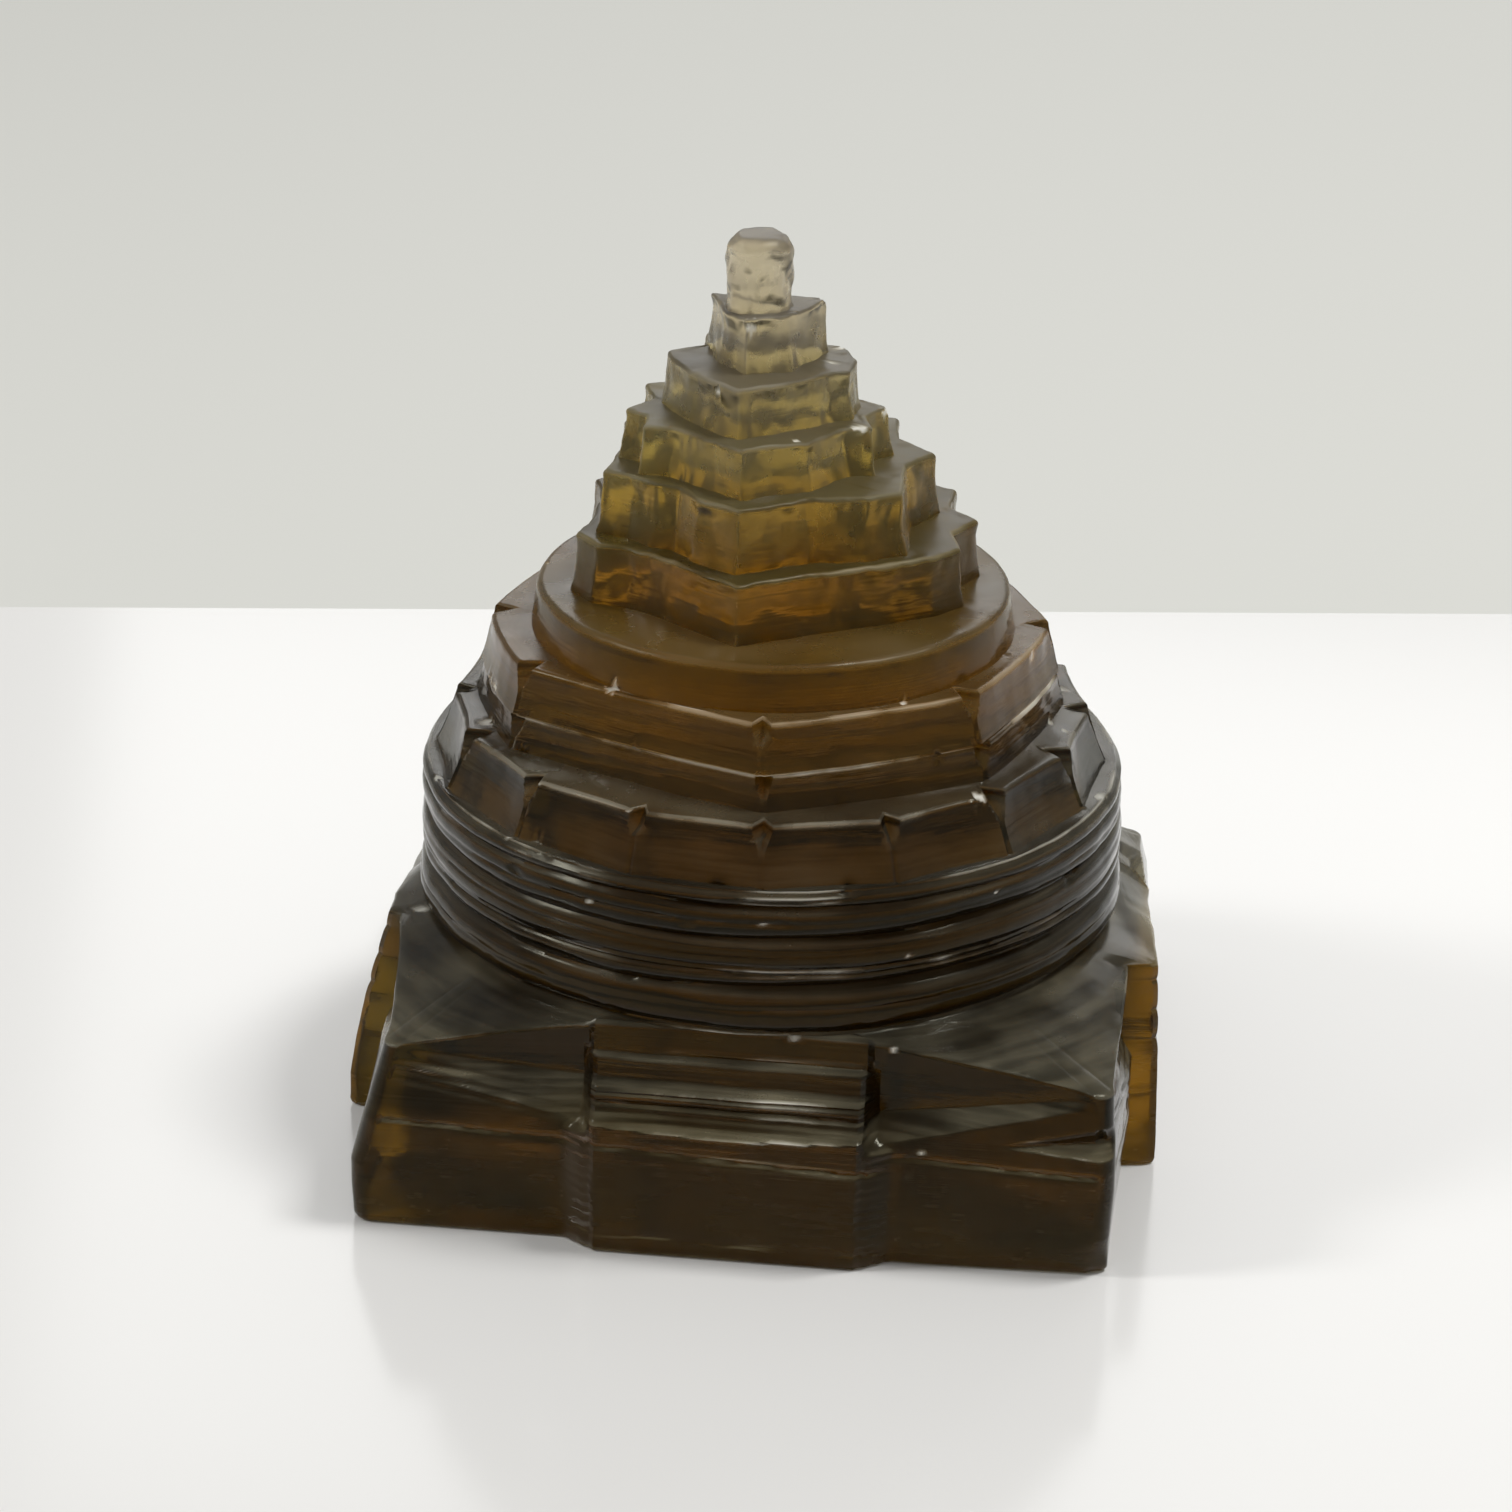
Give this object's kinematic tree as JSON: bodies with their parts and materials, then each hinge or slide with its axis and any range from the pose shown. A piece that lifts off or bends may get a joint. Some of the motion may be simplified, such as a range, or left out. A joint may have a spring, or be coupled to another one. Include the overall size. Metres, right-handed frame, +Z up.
{
  "type": "meru shri yantra",
  "caption": "Stepped pyramid shri yantra cut from one block of smoky crystal: a square gated base, rings, petal and triangle tiers, a round tip.",
  "frame": {"origin": "middle of the resting face, under the middle of the part's extents", "axes": "+Z up to the tip, the front gate faces -Y, the right gate faces +X"},
  "size_m": [0.1164, 0.1104, 0.1286],
  "materials": {
    "smoky_crystal": "hand polished natural crystal with fine wheel marks, dark where it is thick and pale where it is thin"
  },
  "bodies": {
    "root": {"bhupura_plinth": "smoky_crystal", "gate_front": "smoky_crystal", "gate_right": "smoky_crystal", "gate_back": "smoky_crystal", "gate_left": "smoky_crystal", "ring_lower": "smoky_crystal", "ring_middle": "smoky_crystal", "ring_upper": "smoky_crystal", "lotus_16_petals": "smoky_crystal", "lotus_8_petals_step": "smoky_crystal", "lotus_8_petals": "smoky_crystal", "round_disc": "smoky_crystal", "tier_14_corners": "smoky_crystal", "outer_10_corners": "smoky_crystal", "inner_10_corners": "smoky_crystal", "tier_8_corners": "smoky_crystal", "triangle_tier": "smoky_crystal", "bindu": "smoky_crystal"}
  },
  "joints": []
}
